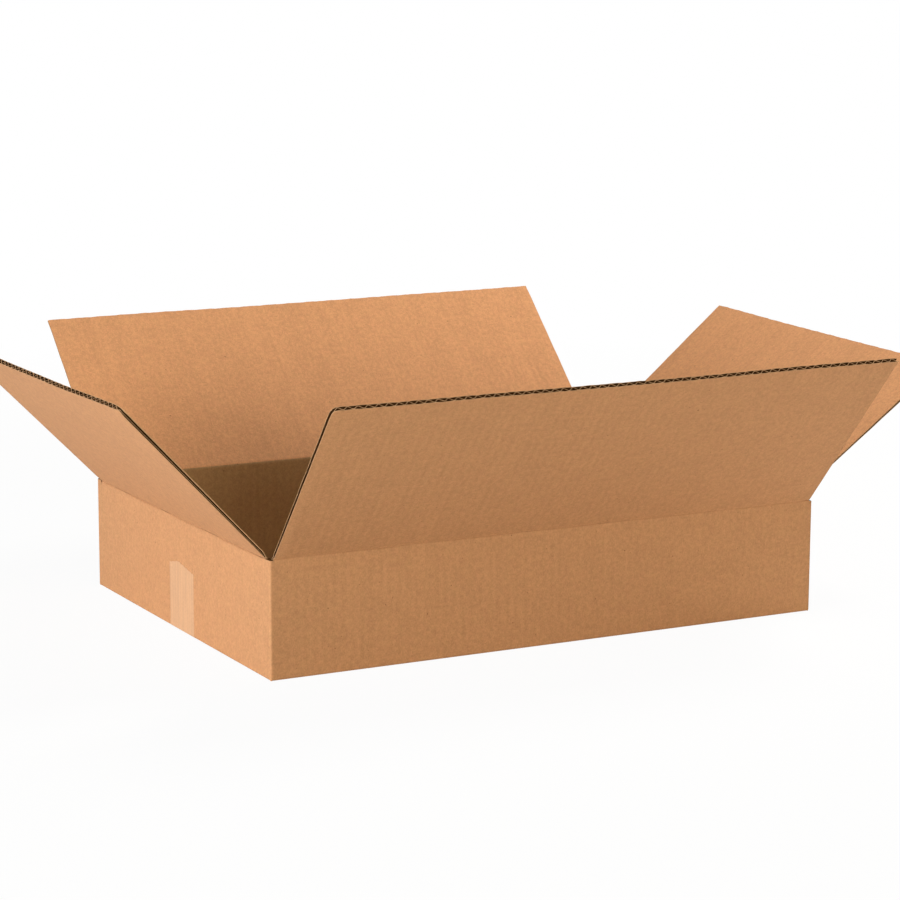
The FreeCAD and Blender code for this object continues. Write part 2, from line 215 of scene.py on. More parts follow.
def kraft(name, colour, streaks):
    """Kraft paper of one colour; streaks says how much the flutes show through it."""
    paper = Finish(name)
    place = paper.node("ShaderNodeUVMap", {"uv_map": SHEET_MAP})
    clouds = paper.noise(place, 70, 52, detail=3.0, rough=0.6)
    mottle = paper.noise(place, 300, 240, detail=2.0, rough=0.6)
    grain = paper.noise(place, 900, 620, detail=2.0, rough=0.6)
    tint = paper.noise(place, 150, 120, detail=3.0, rough=0.6)
    fine_streaks = paper.noise(place, 260, 5, detail=3.0, rough=0.7)
    wide_streaks = paper.noise(place, 62, 2.2, detail=2.0)

    shade = (clouds - 0.5) * 0.8 + (mottle - 0.5) * 1.9 + (grain - 0.5) * 2.2
    shade = shade + (fine_streaks - 0.5) * streaks + (wide_streaks - 0.5) * (streaks * 0.9)
    factor = (shade + 0.5).clamp()
    deep = rgb(*(value * DEEP_SHARE for value in colour))
    pale = rgb(*(value * PALE_SHARE for value in colour))
    board = paper.mix(factor, deep, pale)
    rosy = rgb(colour[0] * 1.03, colour[1] * 0.965, colour[2] * 1.0)
    sandy = rgb(colour[0] * 0.985, colour[1] * 1.02, colour[2] * 0.96)
    warm = paper.mix(((tint - 0.5) * 3.0 + 0.5).clamp(), rosy, sandy)
    blend = paper.mix(0.35, board, warm)
    spots = paper.noise(place, 520, 430, detail=0.0)
    near = paper.noise(place, 31, 23, detail=1.0)
    speck = ((spots - 0.80) * 16.0).clamp() * ((near - 0.42) * 6.0).clamp()
    blend = paper.mix(speck * 0.65, blend, rgb(*SPECK))
    relief = {"Strength": 0.35, "Distance": 0.12 * MM, "Height": grain}
    bump = paper.node("ShaderNodeBump", None, relief)
    paper.set(Base_Color=blend, Roughness=(grain - 0.5) * 0.25 + 0.80)
    paper.set(Normal=bump, Specular_IOR_Level=0.22)
    return paper.material


def plain_paper(name, colour, spread):
    """Raw paper inside the board or along a cut: fibres and no smooth face.

    Where its colour is dark, that dark is painted shade.
    """
    paper = Finish(name)
    place = paper.node("ShaderNodeUVMap", {"uv_map": SHEET_MAP})
    fibre = paper.noise(place, 700, 500, detail=3.0, rough=0.7)
    deep = rgb(*(value * (1 - spread) for value in colour))
    pale = rgb(*(value * (1 + spread) for value in colour))
    paper.set(Base_Color=paper.mix(((fibre - 0.5) * 2.5 + 0.5).clamp(), deep, pale))
    paper.set(Roughness=0.9 + (fibre - 0.5) * 0.1, Specular_IOR_Level=0.0)
    return paper.material


outside_paper = kraft("kraft_outside", KRAFT, 0.16)
inside_paper = kraft("kraft_inside", (0.600, 0.293, 0.133), 0.70)
# A darker copy of the inside paper for the insides of the walls and the bottom: painted shade for
# the dim inside of the box.
shaded_inner_wall_paper = kraft("kraft_inner_wall_painted_shade", (0.420, 0.268, 0.130), 0.60)
# A darker copy of the outside paper: a thin line of painted shade along each crease.
crease_shade_paper = kraft("kraft_painted_crease_shade", tuple(0.62 * value for value in KRAFT), 0.16)
cut_paper = plain_paper("kraft_cut_edge", (0.50, 0.30, 0.16), 0.18)
# Near-black paper for the liners' faces towards the flutes: painted shade in the hollows.
hollow_shade_paper = plain_paper("kraft_hollow_painted_shade", (0.085, 0.040, 0.014), 0.25)
# Near-black paper for the fluted paper between the liners: painted shade in the hollows.
flute_shade_paper = plain_paper("flute_shade_paper", (0.075, 0.034, 0.012), 0.25)
flute_cut_paper = plain_paper("flute_cut_edge", (0.47, 0.275, 0.150), 0.20)
FINISHES = [outside_paper, inside_paper, shaded_inner_wall_paper, crease_shade_paper]
FINISHES += [cut_paper, hollow_shade_paper, flute_shade_paper, flute_cut_paper]
OUTSIDE, INSIDE, INNER_WALL_SHADE, CREASE_SHADE, CUT, HOLLOW_SHADE, FLUTE_SHADE, FLUTE_CUT = range(len(FINISHES))
print("paper finishes:", [finish.name for finish in FINISHES])

# %% [markdown]
# ## Paper slabs
#
# Every sheet here is a closed slab: a grid of points on its front, the same grid on its back, and
# a rim round every edge. Slots are cut by leaving cells of the grid out, and the rim then follows
# the slot by itself. A class gathers such slabs into one mesh and keeps, for each point, its place
# on the flat sheet.

# %% Build paper slabs
class Paper:
    """Gathers closed slabs of paper into one mesh."""

    def __init__(self):
        self.points, self.places, self.faces, self.finishes = [], [], [], []
        self.count = 0

    def slab(self, front, back, places, back_places, finishes, keep=None):
        """Add a slab. finishes are those of its front, its back and its cut edge.

        Each finish is one number, or an array with a number for each cell of the grid.
        """
        rows, columns = front.shape[:2]
        if keep is None:
            keep = np.ones((rows - 1, columns - 1), bool)
        near = self.count + np.arange(rows * columns).reshape(rows, columns)
        far = near + rows * columns
        self.points += [front.reshape(-1, 3), back.reshape(-1, 3)]
        self.places += [places.reshape(-1, 2), back_places.reshape(-1, 2)]
        self.count += 2 * rows * columns
        a, b, c, d = near[:-1, :-1], near[:-1, 1:], near[1:, 1:], near[1:, :-1]
        e, f, g, h = far[:-1, :-1], far[:-1, 1:], far[1:, 1:], far[1:, :-1]
        self.add(keep, (a, b, c, d), finishes[0])
        self.add(keep, (e, h, g, f), finishes[1])
        walled = np.pad(keep, 1)
        self.add(keep & ~walled[:-2, 1:-1], (b, a, e, f), finishes[2])
        self.add(keep & ~walled[2:, 1:-1], (d, c, g, h), finishes[2])
        self.add(keep & ~walled[1:-1, :-2], (a, d, h, e), finishes[2])
        self.add(keep & ~walled[1:-1, 2:], (c, b, f, g), finishes[2])

    def add(self, chosen, corners, finish):
        quads = np.stack([corner[chosen] for corner in corners], axis=1)
        self.faces.append(quads)
        self.finishes.append(np.broadcast_to(finish, chosen.shape)[chosen])

    def make(self, name):
        """Make the mesh, with only the points that a face uses."""
        faces = np.concatenate(self.faces)
        used, faces = np.unique(faces, return_inverse=True)
        faces = faces.reshape(-1, 4)
        mesh = bpy.data.meshes.new(name)
        mesh.from_pydata(np.concatenate(self.points)[used].tolist(), [], faces.tolist())
        for finish in FINISHES:
            mesh.materials.append(finish)
        mesh.polygons.foreach_set("material_index", np.concatenate(self.finishes))
        mesh.polygons.foreach_set("use_smooth", np.ones(len(faces), bool))
        layer = mesh.uv_layers.new(name=SHEET_MAP)
        layer.data.foreach_set("uv", np.concatenate(self.places)[used][faces.ravel()].ravel())
        mesh.set_sharp_from_angle(angle=math.radians(38))
        mesh.update()
        piece = bpy.data.objects.new(name, mesh)
        bpy.context.scene.collection.objects.link(piece)
        print(name, "has", 2 * len(faces), "triangles")
        return piece


def wander(at, wavelength, seed):
    """A smooth random line from about -1 to 1, with swells about one wavelength long."""
    draw = np.random.RandomState(seed)
    total = np.zeros_like(np.asarray(at, float))
    for share in (1.0, 0.53, 0.31):
        total = total + share * np.sin(2 * np.pi * (at / (wavelength * share) + draw.rand()))
    return total / 1.5


def smooth_step(value):
    value = np.clip(value, 0, 1)
    return value * value * (3 - 2 * value)


# %% [markdown]
# ## The four sides
#
# The box is one sheet, wound round four sides. Each side has its own directions, along the
# sheet, outwards and up, and a stretch of the flat sheet to itself. The hinge of each flap gives
# the crease, and the solids give the size of the walls and of the flaps.

# %% Read the sides from the frame
BOARD = 4.0 * MM
LINER = 0.36 * MM
MEDIUM = 0.38 * MM
ROOT = 6.0 * MM
TURN_ZONE = 4.5 * MM
BEND_REACH = 1.1 * MM
box_low, box_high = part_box("box_body")
HALF = {"x": box_high.x, "y": box_high.y}
POST_TOP = box_high.z - 0.5 * MM
LONG_FLAP_INSET = 3 * MM
END_FLAP_INSET = 9 * MM


class Side:
    """One wall and the flap at its top."""

    def __init__(self, name, along, outwards, half_wall, sheet_middle):
        self.name = name
        self.along = np.array(along, float)
        self.outwards = np.array(outwards, float)
        self.half_wall = half_wall
        self.is_long = along[1] == 0
        self.half_length = HALF["x"] if self.is_long else HALF["y"]
        self.sheet_middle = sheet_middle
        inset = LONG_FLAP_INSET if self.is_long else END_FLAP_INSET
        self.bottom_half_width = self.half_length - inset
        joint = joints[f"{name}_crease"]
        hinge = np.array(joint["pos_m"], float)
        self.lean = math.radians(-joint["range_deg"][0] - 90)
        self.outer = half_wall - abs(float(hinge @ self.outwards))
        self.inner = BOARD - self.outer
        low, high = (np.array(corner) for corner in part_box(f"{name}_flap"))
        self.start, self.end = sorted((float(self.along @ low), float(self.along @ high)))
        self.middle = (self.start + self.end) / 2
        self.half_width = (self.end - self.start) / 2
        self.crease = hinge + (self.middle - float(hinge @ self.along)) * self.along
        rise = high[2] - self.crease[2] - self.inner * math.sin(self.lean)
        self.reach = rise / math.cos(self.lean)
        self.root_height = self.crease[2] - ROOT
        self.set_bend()

    def set_bend(self):
        """The middle line of the bend from wall to flap, as a table that np.interp reads.

        The table runs on straight to a metre below the crease and a metre beyond it.
        """
        half = BEND_REACH
        steps = np.linspace(-half, half, 61)
        turn = self.lean * smooth_step((steps + half) / (2 * half))
        middle = (turn[1:] + turn[:-1]) / 2
        length = steps[1] - steps[0]
        across = np.concatenate([[0], np.cumsum(np.sin(middle)) * length])
        up = -half + np.concatenate([[0], np.cumsum(np.cos(middle)) * length])
        far = 1.0 - half
        self.bend_at = np.concatenate([[-1.0], steps, [1.0]])
        self.bend_turn = np.concatenate([[0], turn, [self.lean]])
        self.bend_across = np.concatenate([[0], across, [across[-1] + far * math.sin(self.lean)]])
        self.bend_up = np.concatenate([[-1.0], up, [up[-1] + far * math.cos(self.lean)]])

    def folded(self, along, up, out):
        """Points on the flap: along the crease, up the sheet from it, and out from its axis."""
        turn = np.interp(up, self.bend_at, self.bend_turn)
        across = np.interp(up, self.bend_at, self.bend_across) + out * np.cos(turn)
        height = np.interp(up, self.bend_at, self.bend_up) - out * np.sin(turn)
        return (
            self.crease
            + along[..., None] * self.along
            + across[..., None] * self.outwards
            + height[..., None] * np.array([0, 0, 1.0])
        )


SIDES = {
    "back": Side("back", (-1, 0, 0), (0, 1, 0), HALF["y"], -(HALF["x"] + HALF["y"]) * 2),
    "left": Side("left", (0, -1, 0), (-1, 0, 0), HALF["x"], -(HALF["x"] + HALF["y"])),
    "front": Side("front", (1, 0, 0), (0, -1, 0), HALF["y"], 0.0),
    "right": Side("right", (0, 1, 0), (1, 0, 0), HALF["x"], HALF["x"] + HALF["y"]),
}
for side in SIDES.values():
    print(side.name, "lean", round(math.degrees(side.lean), 1), "reach", round(side.reach, 4))

# %% [markdown]
# ## Fluted board
#
# Along a cut edge the board shows how it is made: two flat liners with a wave of thinner paper
# glued between them. Seen end on, the waves are a zigzag with dark hollows. Seen along the waves,
# the edge is one long dark gap. The flaps are built this way all through, as three separate
# slabs, so that both kinds of edge come out of their shape. The fluted paper and the liners'
# faces towards it are also coloured dark, as painted shade in the hollows.

# %% Build fluted board
WASHBOARD = 0.05 * MM
LAYER_SHIFT = 3.0
BACK_SHIFT = 0.4
LINER_RAGGED = 0.22 * MM
MEDIUM_RAGGED = 0.25 * MM
MEDIUM_FRAYED = 0.12 * MM


def flute_wave(along, crest):
    """The wave of the fluted paper: 1 where it touches the outside liner, as it does at crest."""
    phase = 2 * np.pi * (along - crest) / FLUTE_PITCH
    round_wave = np.cos(phase)
    straight_wave = np.arcsin(0.97 * round_wave) / math.asin(0.97)
    return 0.45 * round_wave + 0.55 * straight_wave


class Panel:
    """A piece of fluted board: where it lies, how wide it is, and its place on the flat sheet.

    crest is a flute that touches the outside liner. Up to wall_end the inside has the walls'
    darker finish, which is painted shade. frayed is the extra thickness of the inside liner
    along the sides, and the last one is half the width of the line of painted shade along the
    crease.
    """

    def __init__(self, place, half_width, crest, sheet_middle, sheet_base, wall_end=0.0,
                 frayed=0.0, crease_shade_half_width=0.0):
        self.place = place
        self.half_width = half_width
        self.crest = crest
        self.sheet_middle = sheet_middle
        self.sheet_base = sheet_base
        self.wall_end = wall_end
        self.frayed = frayed
        self.crease_shade_half_width = crease_shade_half_width

    def columns(self, per_flute, inset=0.0):
        """Places along the board: a few for each flute, and more at its two cut sides."""
        end = self.half_width - inset
        first = math.ceil((-end - self.crest) / FLUTE_PITCH * per_flute)
        last = math.floor((end - self.crest) / FLUTE_PITCH * per_flute)
        inner = self.crest + np.arange(first, last + 1) * FLUTE_PITCH / per_flute
        inner = inner[abs(inner) < end - 1.2 * MM]
        beside = end - 0.5 * MM
        return np.concatenate([[-end, -beside], inner, [beside, end]])

    def sheet_places(self, along, up, layer):
        """Places on the flat sheet; each layer has a part of the pattern to itself."""
        places = [self.sheet_middle + along + LAYER_SHIFT * layer, self.sheet_base + up]
        return np.stack(places, axis=-1)


def add_board(paper, panel, rows, flute_rows, faces, shape, medium_inset):
    """Add two liners and the fluted paper between them.

    faces(along, up) gives how far out the outside and inside faces lie. shape(along, up, out)
    gives the place moved by wear, in the same three measures. medium_inset is how far the fluted
    paper stops short of the board's two sides.
    """
    # Inside the walls the inside liner takes the darker paper, painted shade.
    inside_finish = np.where(rows[1:] <= panel.wall_end, INNER_WALL_SHADE, INSIDE)[:, None]
    # A thin band along the crease takes the darker paper, painted shade in the score.
    in_crease_shade = abs(rows[1:] + rows[:-1]) / 2 < panel.crease_shade_half_width
    outside_finish = np.where(in_crease_shade, CREASE_SHADE, OUTSIDE)[:, None]
    along, up = np.meshgrid(panel.columns(4), rows)
    outside, inside = faces(along, up)
    washboard = WASHBOARD * np.cos(2 * np.pi * (along - panel.crest) / FLUTE_PITCH)
    frayed = panel.frayed * smooth_step(1 - (panel.half_width - abs(along)) / MM)
    at_edge = smooth_step((up - rows[-1] + 2 * MM) / (2 * MM))
    # Each liner's face towards the flutes takes the near-black paper, painted shade in the hollows.
    layers = (
        (outside + washboard, outside - LINER, (outside_finish, HOLLOW_SHADE, CUT), 0),
        (inside + LINER + frayed, inside + washboard, (HOLLOW_SHADE, inside_finish, CUT), 1),
    )
    for front, back, finishes, layer in layers:
        cut_line = up + LINER_RAGGED * wander(along, 21 * MM, 5 + layer) * at_edge
        near = panel.place(*shape(along, cut_line, front))
        far = panel.place(*shape(along, cut_line, back))
        places = panel.sheet_places(along, up, layer)
        paper.slab(near, far, places, places + BACK_SHIFT, finishes)

    along, up = np.meshgrid(panel.columns(12, medium_inset), flute_rows)
    outside, inside = faces(along, up)
    middle = (outside + inside) / 2
    swing = (outside - inside) / 2 - LINER - MEDIUM / 2
    jitter = 1 + 0.05 * wander(along, 17 * MM, 11)
    wave = flute_wave(along + 0.35 * MM * wander(along, 60 * MM, 12), panel.crest)
    out = middle + wave * swing * jitter
    ragged = up + MEDIUM_RAGGED * wander(along, 9 * MM, 13) * (up > rows[-1] - 3 * MM)
    half = MEDIUM / 2 + MEDIUM_FRAYED * smooth_step(1 - (rows[-1] - up) / (2 * MM))
    near = panel.place(*shape(along, ragged, out + half))
    far = panel.place(*shape(along, ragged, out - half))
    places = panel.sheet_places(along, up, 2)
    # The fluted paper is near-black all over, painted shade for the hollows; only its cut edge is
    # light.
    paper.slab(near, far, places, places + BACK_SHIFT, (FLUTE_SHADE, FLUTE_SHADE, FLUTE_CUT))


print("flutes are", round(FLUTE_PITCH / MM, 2), "mm apart")

# %% [markdown]
# ## The four top flaps
#
# A flap is the wall's own sheet, bent along a line that a wheel has crushed into it. So each flap
# here starts a little below its crease, on the wall, and bends smoothly over it. Handling has
# pressed a corner of the front flap and one of the left flap flat.

# %% Make the flaps
OUTER_GROOVE = {"front": 0.9 * MM, "back": 0.6 * MM, "left": 1.2 * MM, "right": 0.8 * MM}
INNER_CRUSH = {"front": 1.1 * MM, "back": 0.15 * MM, "left": 1.5 * MM, "right": 1.5 * MM}
CRUSH_REACH = {"front": 5 * MM, "back": 2.2 * MM, "left": 6 * MM, "right": 6 * MM}
# Half the width of the line of painted shade along each crease.
CREASE_SHADE_HALF_WIDTH = 0.5 * MM
THINNEST = 2 * LINER + MEDIUM + 0.05 * MM
PRESS_REACH = 7 * MM
EDGE_PRESS, SIDE_PRESS, CORNER_PRESS = 0.05 * MM, 0.15 * MM, 0.25 * MM
OUTER_LOW_PRESS, INNER_LOW_PRESS = 0.6 * MM, 0.3 * MM
MEDIUM_INSET = 1.0 * MM
BELOW = (-ROOT, -4.6 * MM, -3.4 * MM, -2.6 * MM, -1.9 * MM, -1.3 * MM, -0.8 * MM, -0.4 * MM)
ABOVE = np.array([0.0, 0.4, 0.8, 1.3, 1.9, 2.6, 3.6, 4.8, 6.5, 9]) * MM
TO_EDGE = np.array([8, 5, 3, 1.5, 0.6, 0]) * MM
FLUTE_LOW = np.array([2.5, 6, 12]) * MM
FLUTE_SHARES = np.array([0.25, 0.5, 0.75])
FLUTE_TO_EDGE = np.array([8, 5, 2.5, 0]) * MM


class Wear:
    """How a flap departs from a flat rectangle. Each pair is for its start and its end.

    twist is extra lean in degrees. The rest are millimetres: how much further the sides stand out
    at the crease and at the free edge, how much longer the flap is, and how much more its outside
    is pressed in along its sides. crushed is the size of a corner that has been pressed flat, and
    frayed is how thick the torn fibres make the inside liner along the flap's sides.
    """

    def __init__(self, twist=(0, 0), low=(0, 0), high=(0, 0), longer=(0, 0), pinched=(0, 0),
                 crushed=(0, 0), frayed=0.1):
        self.twist = np.radians(twist)
        self.low, self.high, self.longer = np.array([low, high, longer]) * MM
        self.pinched, self.crushed = np.array([pinched, crushed]) * MM
        self.frayed = frayed * MM


WEAR = {
    "front": Wear(low=(-1.0, 0.5), high=(2.8, 3.3), longer=(0.2, 2.0), crushed=(3.8, 0)),
    "back": Wear(longer=(3.5, 0.7), pinched=(0, 2.4)),
    "left": Wear(twist=(0.2, -0.8), low=(3.5, 0), high=(0.5, 0), longer=(0, -4.5),
                 crushed=(0, 5), frayed=0.35),
    "right": Wear(twist=(1.0, -2.65), pinched=(1.4, 0)),
}


def between(pair, share):
    """From the first of a pair to the second, as share goes from 0 to 1."""
    return pair[0] * (1 - share) + pair[1] * share


def flap_rows(reach):
    """Rows up a flap: close together over the crease and at the free edge."""
    middle = np.linspace(14 * MM, reach - 12 * MM, 11)
    return np.concatenate([BELOW, ABOVE, middle, reach - TO_EDGE])


def make_flap(side):
    """One flap as three slabs of paper, from just below its crease to its free edge."""
    crest = 0.5 * FLUTE_PITCH if side.is_long else -side.middle
    wear = WEAR[side.name]
    sheet_middle = side.sheet_middle + side.middle
    panel = Panel(side.folded, side.half_width, crest, sheet_middle, side.crease[2],
                  frayed=wear.frayed, crease_shade_half_width=CREASE_SHADE_HALF_WIDTH)

    def nearness(along, up, span):
        """1 at a crushed corner and 0 where span times its size away from it."""
        total = 0
        for end, size in zip((-1, 1), wear.crushed):
            if size:
                beside = np.maximum(side.half_width - end * along, 0)
                below = np.maximum(side.reach - up, 0)
                total = total + 1 - smooth_step(np.hypot(beside, below) / (size * span))
        return total

    def faces(along, up):
        near_crease = 1 - smooth_step(abs(up) / CRUSH_REACH[side.name])
        wavy = up + 0.4 * MM * wander(along, 90 * MM, 21)
        score = np.exp(-(wavy / (0.8 * MM)) ** 2)
        score = score * (1 - smooth_step((abs(up) - 2 * MM) / (2 * MM)))
        outside = side.outer - OUTER_GROOVE[side.name] * score
        inside = -side.inner + INNER_CRUSH[side.name] * near_crease
        edge = smooth_step(1 - (side.reach - up) / PRESS_REACH)
        beside = side.half_width - abs(along)
        rooted = smooth_step((up + ROOT) / (1.5 * ROOT))
        cut_side = smooth_step(1 - beside / PRESS_REACH) * rooted
        low = 1 - np.clip(up / side.reach, 0, 1)
        corner = nearness(along, up, 2.4)
        pinch = EDGE_PRESS * edge + SIDE_PRESS * cut_side + CORNER_PRESS * corner
        share = (along / side.half_width + 1) / 2
        pressed = smooth_step(1 - beside / (9 * MM)) * rooted * between(wear.pinched, share)
        outside = outside - pinch - OUTER_LOW_PRESS * low * cut_side - pressed
        inside = inside + pinch + INNER_LOW_PRESS * low * cut_side
        middle = (outside + inside) / 2
        half = np.maximum((outside - inside) / 2, THINNEST / 2)
        return middle + half, middle - half

    def shape(along, up, out):
        share = (along / side.half_width + 1) / 2
        high = np.clip(up / side.reach, 0, 1)
        rooted = smooth_step((up + ROOT) / (2 * ROOT))
        wider_start = between((wear.low[0], wear.high[0]), high) * rooted
        wider_end = between((wear.low[1], wear.high[1]), high) * rooted
        moved = along - (1 - share) * wider_start + share * wider_end
        ragged = 0.15 * MM * wander(up, 35 * MM, 31) * smooth_step((up - ROOT) / (20 * MM))
        moved = moved + ragged * (abs(along) > side.half_width - 1 * MM)
        dent = nearness(along, up, 1.2) * wear.crushed.max()
        moved = moved - np.sign(along) * 0.35 * dent
        further = up + high * between(wear.longer, share) - 0.45 * dent
        bow = 0.5 * MM * wander(along, 420 * MM, 41) * smooth_step(up / side.reach)
        leaned = np.maximum(up, 0) * np.tan(between(wear.twist, share))
        return moved, further, out + bow + leaned - 0.08 * dent

    paper = Paper()
    middle_rows = side.reach * FLUTE_SHARES
    flute_rows = np.concatenate([FLUTE_LOW, middle_rows, side.reach - FLUTE_TO_EDGE])
    add_board(paper, panel, flap_rows(side.reach), flute_rows, faces, shape, MEDIUM_INSET)
    piece = paper.make(f"{side.name}_flap_board")
    up = np.array([0, 0, 1.0])
    flap_way = math.sin(side.lean) * side.outwards + math.cos(side.lean) * up
    start = side.crease - TURN_ZONE * up
    end = side.crease + TURN_ZONE * flap_way
    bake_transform(piece)
    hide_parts(f"{side.name}_flap")
    return piece


flaps = [make_flap(side) for side in SIDES.values()]

# %% [markdown]
# ## The walls and the bottom
#
# The walls, the bottom flaps and the glued lap are one folded sheet, so they are one slab here
# too: a strip of columns that starts at the back right corner, runs round the four sides and
# ends in the lap. Each column is a section through the sheet, from the free edge of its bottom
# flap up to its top crease. Leaving out cells between the columns cuts the slots.

# %% Lay out the sections of the folded sheet
UPRIGHT_RADIUS = 1.7 * MM
UPRIGHT_INNER_RADIUS = 0.9 * MM
FOLD_RADIUS = 1.8 * MM
INNER_FOLD_RADIUS = 1.0 * MM
SEAM = 2.0 * MM
LAYER_GAP = 0.3 * MM
BOTTOM_FLAP_REACH = 177 * MM
LAP_WIDTH = 35 * MM
LAP_COLUMNS = 8
LAP_TAPER = 8 * MM
LAP_LOW, LAP_HIGH = 12 * MM, 82 * MM
FLUTED_END = 9 * MM
ROOT_HEIGHTS = [SIDES["left"].root_height, SIDES["front"].root_height]
WALL_HEIGHTS = np.array([LAP_LOW, 20 * MM, 35 * MM, 47 * MM, 59 * MM, 74 * MM, LAP_HIGH])
WALL_HEIGHTS = np.concatenate([WALL_HEIGHTS, ROOT_HEIGHTS, [POST_TOP]])
FLAP_STEPS = np.array([0, 0.06, 0.25, 0.5, 0.75, 1.0])
GROUND_GAP = 0.12 * MM
FOLD_ANGLES = np.radians([-90, -62, -36, -14, 0])
END_FOLD_ANGLES = np.radians([-70, -55, -35, -15, 0])
END_FOLD_INSET = np.array([3.0, 1.6, 0.9, 0.45, 0.15, 0.0, 0.0]) * MM
END_FOLD_RISE = np.array([0, 0, 0.15, 0.4, 0.8, 1.3, 2.2]) * MM


def round_fold(wall, radius, flat_end, flat_height, base):
    """The fold from a flat bottom flap up to a wall: places across, and heights."""
    centre = wall - radius
    across = [centre - flat_end, centre - 2 * MM, *(centre + radius * np.cos(FOLD_ANGLES))]
    return across, [flat_height, flat_height, *(base + radius * (1 + np.sin(FOLD_ANGLES)))]


def long_section(half_wall):
    """Section of a long side: bottom flap on the ground, round fold, wall."""
    flap = SEAM + FLAP_STEPS * (half_wall - 12 * MM - SEAM)
    outside = round_fold(half_wall, FOLD_RADIUS, 5 * MM, GROUND_GAP, 0.0)
    inside = round_fold(half_wall - BOARD, INNER_FOLD_RADIUS, 4 * MM, BOARD, BOARD)
    return section(half_wall, (flap, GROUND_GAP, *outside), (flap, BOARD, *inside))


def end_section(half_wall):
    """Section of an end side: flap on top of the outer ones, fold down to the ground, wall."""
    under = BOARD + LAYER_GAP + GROUND_GAP
    free_edge = half_wall - BOTTOM_FLAP_REACH
    plain_start = free_edge + FLUTED_END
    plain_steps = (FLAP_STEPS[1:] - FLAP_STEPS[1]) / (1 - FLAP_STEPS[1])
    flap = plain_start + plain_steps * (half_wall - 14 * MM - plain_start)
    flap = np.append([free_edge], flap)
    turned = FOLD_RADIUS * np.cos(END_FOLD_ANGLES)
    across = half_wall - FOLD_RADIUS + np.array([0.1 * FOLD_RADIUS, 0.3 * FOLD_RADIUS, *turned])
    risen = FOLD_RADIUS * (1 + np.sin(END_FOLD_ANGLES))
    heights = [under - 0.4 * MM, 0.5 * FOLD_RADIUS, *risen]
    inner_across = half_wall - BOARD - END_FOLD_INSET
    inner_heights = under + BOARD + END_FOLD_RISE
    outside = (flap, under, across, heights)
    return section(half_wall, outside, (flap, under + BOARD, inner_across, inner_heights))


def section(half_wall, outside, inside):
    """Rows of a section, as places across from the wall's own face and heights, for both faces.

    outside and inside each give the bottom flap's places and height, then those of its fold.
    """
    rows = []
    for wall, (flap, flap_height, fold, fold_heights) in (
        (half_wall, outside),
        (half_wall - BOARD, inside),
    ):
        upright = np.full(len(WALL_HEIGHTS), wall)
        level = np.full(len(flap), flap_height)
        rows.append(np.concatenate([flap, fold, upright]) - wall)
        rows.append(np.concatenate([level, fold_heights, WALL_HEIGHTS]))
    return rows


SECTIONS = {}
for name, side in SIDES.items():
    make_section = long_section if side.is_long else end_section
    SECTIONS[name] = make_section(side.half_wall)
ROWS = len(SECTIONS["front"][0])
print("each section has", ROWS, "rows")


# %% Walk round the box, column by column
class Columns:
    """Columns of the strip: both faces, outward way, place on the sheet, section and stretch."""

    def __init__(self):
        self.outside, self.inside, self.way, self.sheet = [], [], [], []
        self.sections, self.wash, self.stretches = [], [], []

    def add(self, outside, inside, way, sheet, section_name, stretch, wash=0.0):
        """stretch names the sheet between this column and the one before it."""
        self.outside.append(outside)
        self.inside.append(inside)
        self.way.append(way)
        self.sheet.append(sheet)
        self.sections.append(section_name)
        self.stretches.append(stretch)
        self.wash.append(wash)


def add_straight(columns, side, first, last):
    """Columns along the flat part of one side, four to a flute."""
    crest = 0.5 * FLUTE_PITCH if side.is_long else 0.0
    count = math.ceil(last / FLUTE_PITCH * 4)
    places = crest + np.arange(-count, count) * FLUTE_PITCH / 4
    places = places[(places > first + 1 * MM) & (places < last - 1 * MM)]
    slots = np.array([side.start, side.end, -side.bottom_half_width, side.bottom_half_width])
    places = places[np.abs(places[:, None] - slots).min(axis=1) > 0.8 * MM]
    places = np.unique(np.concatenate([[first, last], places, slots]).round(7))
    flat_end = side.half_length - BOARD - UPRIGHT_INNER_RADIUS
    inner_wall = (side.half_wall - BOARD) * side.outwards
    for number, place in enumerate(places):
        wash = WASHBOARD * math.cos(2 * np.pi * (place - crest) / FLUTE_PITCH)
        wash = wash * float(smooth_step((flat_end - abs(place)) / (12 * MM)))
        outside = place * side.along + side.half_wall * side.outwards
        inside = np.clip(place, -flat_end, flat_end) * side.along + inner_wall
        middle = (place + places[max(number, 1) - 1]) / 2
        stretch = "corner"
        if side.start < middle < side.end:
            stretch = side.name
        elif abs(middle) < side.bottom_half_width:
            stretch = "beside_flap"
        sheet = side.sheet_middle + place
        columns.add(outside, inside, side.outwards, sheet, side.name, stretch, wash)


def add_fold(columns, centre, inner_centre, before, sheet, turns):
    """Columns round an upright fold, at the given turns in degrees."""
    for degrees in turns:
        turn = math.radians(degrees)
        way = math.cos(turn) * before.outwards + math.sin(turn) * before.along
        place = sheet + degrees / 90 * 2 * UPRIGHT_RADIUS
        outside = centre + UPRIGHT_RADIUS * way
        inside = inner_centre + UPRIGHT_INNER_RADIUS * way
        columns.add(outside, inside, way, place, "corner", "corner")


def fold_between(columns, before):
    """The fold between a side and the next one."""
    reach = before.half_length - UPRIGHT_RADIUS
    centre = reach * before.along + (before.half_wall - UPRIGHT_RADIUS) * before.outwards
    small = BOARD + UPRIGHT_INNER_RADIUS
    inner = (before.half_length - small) * before.along
    inner = inner + (before.half_wall - small) * before.outwards
    add_fold(columns, centre, inner, before, before.sheet_middle + reach, (15, 30, 45, 60, 75))


